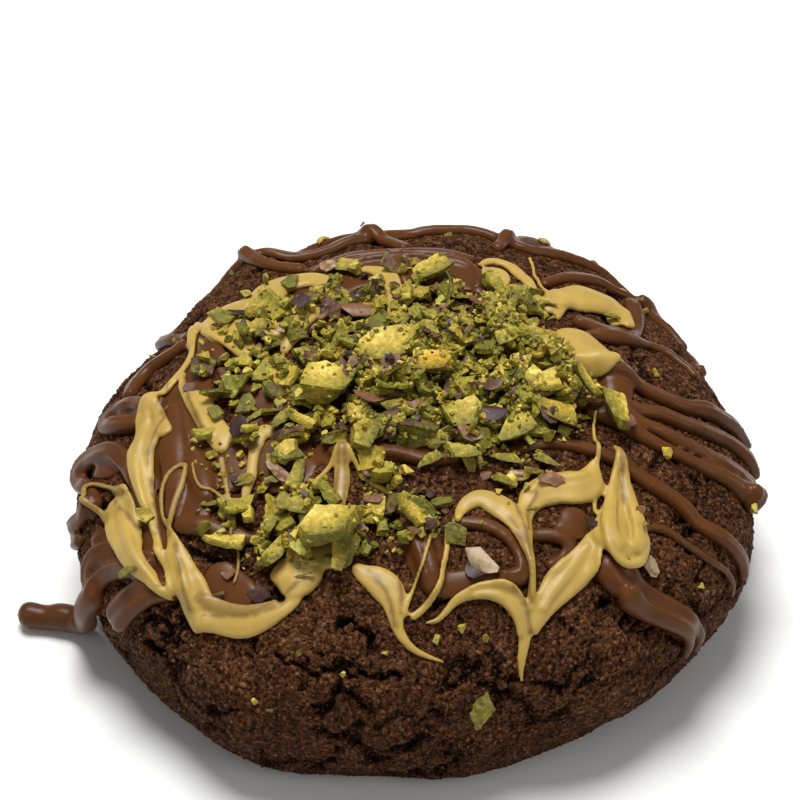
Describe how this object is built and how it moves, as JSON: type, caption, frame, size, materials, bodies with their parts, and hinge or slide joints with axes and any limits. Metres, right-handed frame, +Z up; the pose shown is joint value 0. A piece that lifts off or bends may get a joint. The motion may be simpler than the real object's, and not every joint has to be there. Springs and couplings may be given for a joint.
{
  "type": "pistachio cookie",
  "caption": "Thick domed chocolate cookie with a cracked crumb, milk chocolate and pistachio cream drizzle and a heap of chopped pistachios; rests flat on a table",
  "frame": {"origin": "centre of the flat baked base, at the level of the table", "axes": "+Z up out of the top of the cookie; the side shown towards the viewer in the picture faces -Y; +X to the viewer's right"},
  "size_m": [0.1102, 0.1026, 0.0415],
  "materials": {
    "baked_dough": "baked chocolate cookie crumb, dry and rough, brown with lighter grains",
    "milk_chocolate": "set milk chocolate, satin gloss",
    "pistachio_cream": "set pistachio cream, pale yellow-beige, soft gloss",
    "pistachio_nut": "roasted pistachio kernels, chopped, yellow-green cut faces with brown skins"
  },
  "bodies": {
    "root": {"chocolate_drizzle_01": "milk_chocolate", "chocolate_drizzle_02": "milk_chocolate", "chocolate_drizzle_03": "milk_chocolate", "chocolate_drizzle_04": "milk_chocolate", "chocolate_drizzle_05": "milk_chocolate", "chocolate_drizzle_06": "milk_chocolate", "chocolate_drizzle_07": "milk_chocolate", "chocolate_foot": "milk_chocolate", "chopped_pistachio_heap": "pistachio_nut", "cookie_dough": "baked_dough", "pistachio_chunk_01": "pistachio_nut", "pistachio_chunk_02": "pistachio_nut", "pistachio_chunk_03": "pistachio_nut", "pistachio_chunk_04": "pistachio_nut", "pistachio_chunk_05": "pistachio_nut", "pistachio_chunk_06": "pistachio_nut", "pistachio_chunk_07": "pistachio_nut", "pistachio_chunk_08": "pistachio_nut", "pistachio_chunk_09": "pistachio_nut", "pistachio_chunk_10": "pistachio_nut", "pistachio_chunk_11": "pistachio_nut", "pistachio_chunk_12": "pistachio_nut", "pistachio_chunk_13": "pistachio_nut", "pistachio_chunk_14": "pistachio_nut", "pistachio_chunk_15": "pistachio_nut", "pistachio_chunk_16": "pistachio_nut", "pistachio_chunk_17": "pistachio_nut", "pistachio_chunk_18": "pistachio_nut", "pistachio_cream_01": "pistachio_cream", "pistachio_cream_02": "pistachio_cream", "pistachio_cream_03": "pistachio_cream", "pistachio_cream_04": "pistachio_cream", "pistachio_cream_05": "pistachio_cream", "pistachio_cream_06": "pistachio_cream", "pistachio_cream_07": "pistachio_cream", "pistachio_cream_08": "pistachio_cream", "pistachio_cream_09": "pistachio_cream", "pistachio_cream_10": "pistachio_cream", "pistachio_cream_11": "pistachio_cream", "pistachio_cream_12": "pistachio_cream", "pistachio_cream_13": "pistachio_cream", "pistachio_cream_14": "pistachio_cream"}
  },
  "joints": []
}
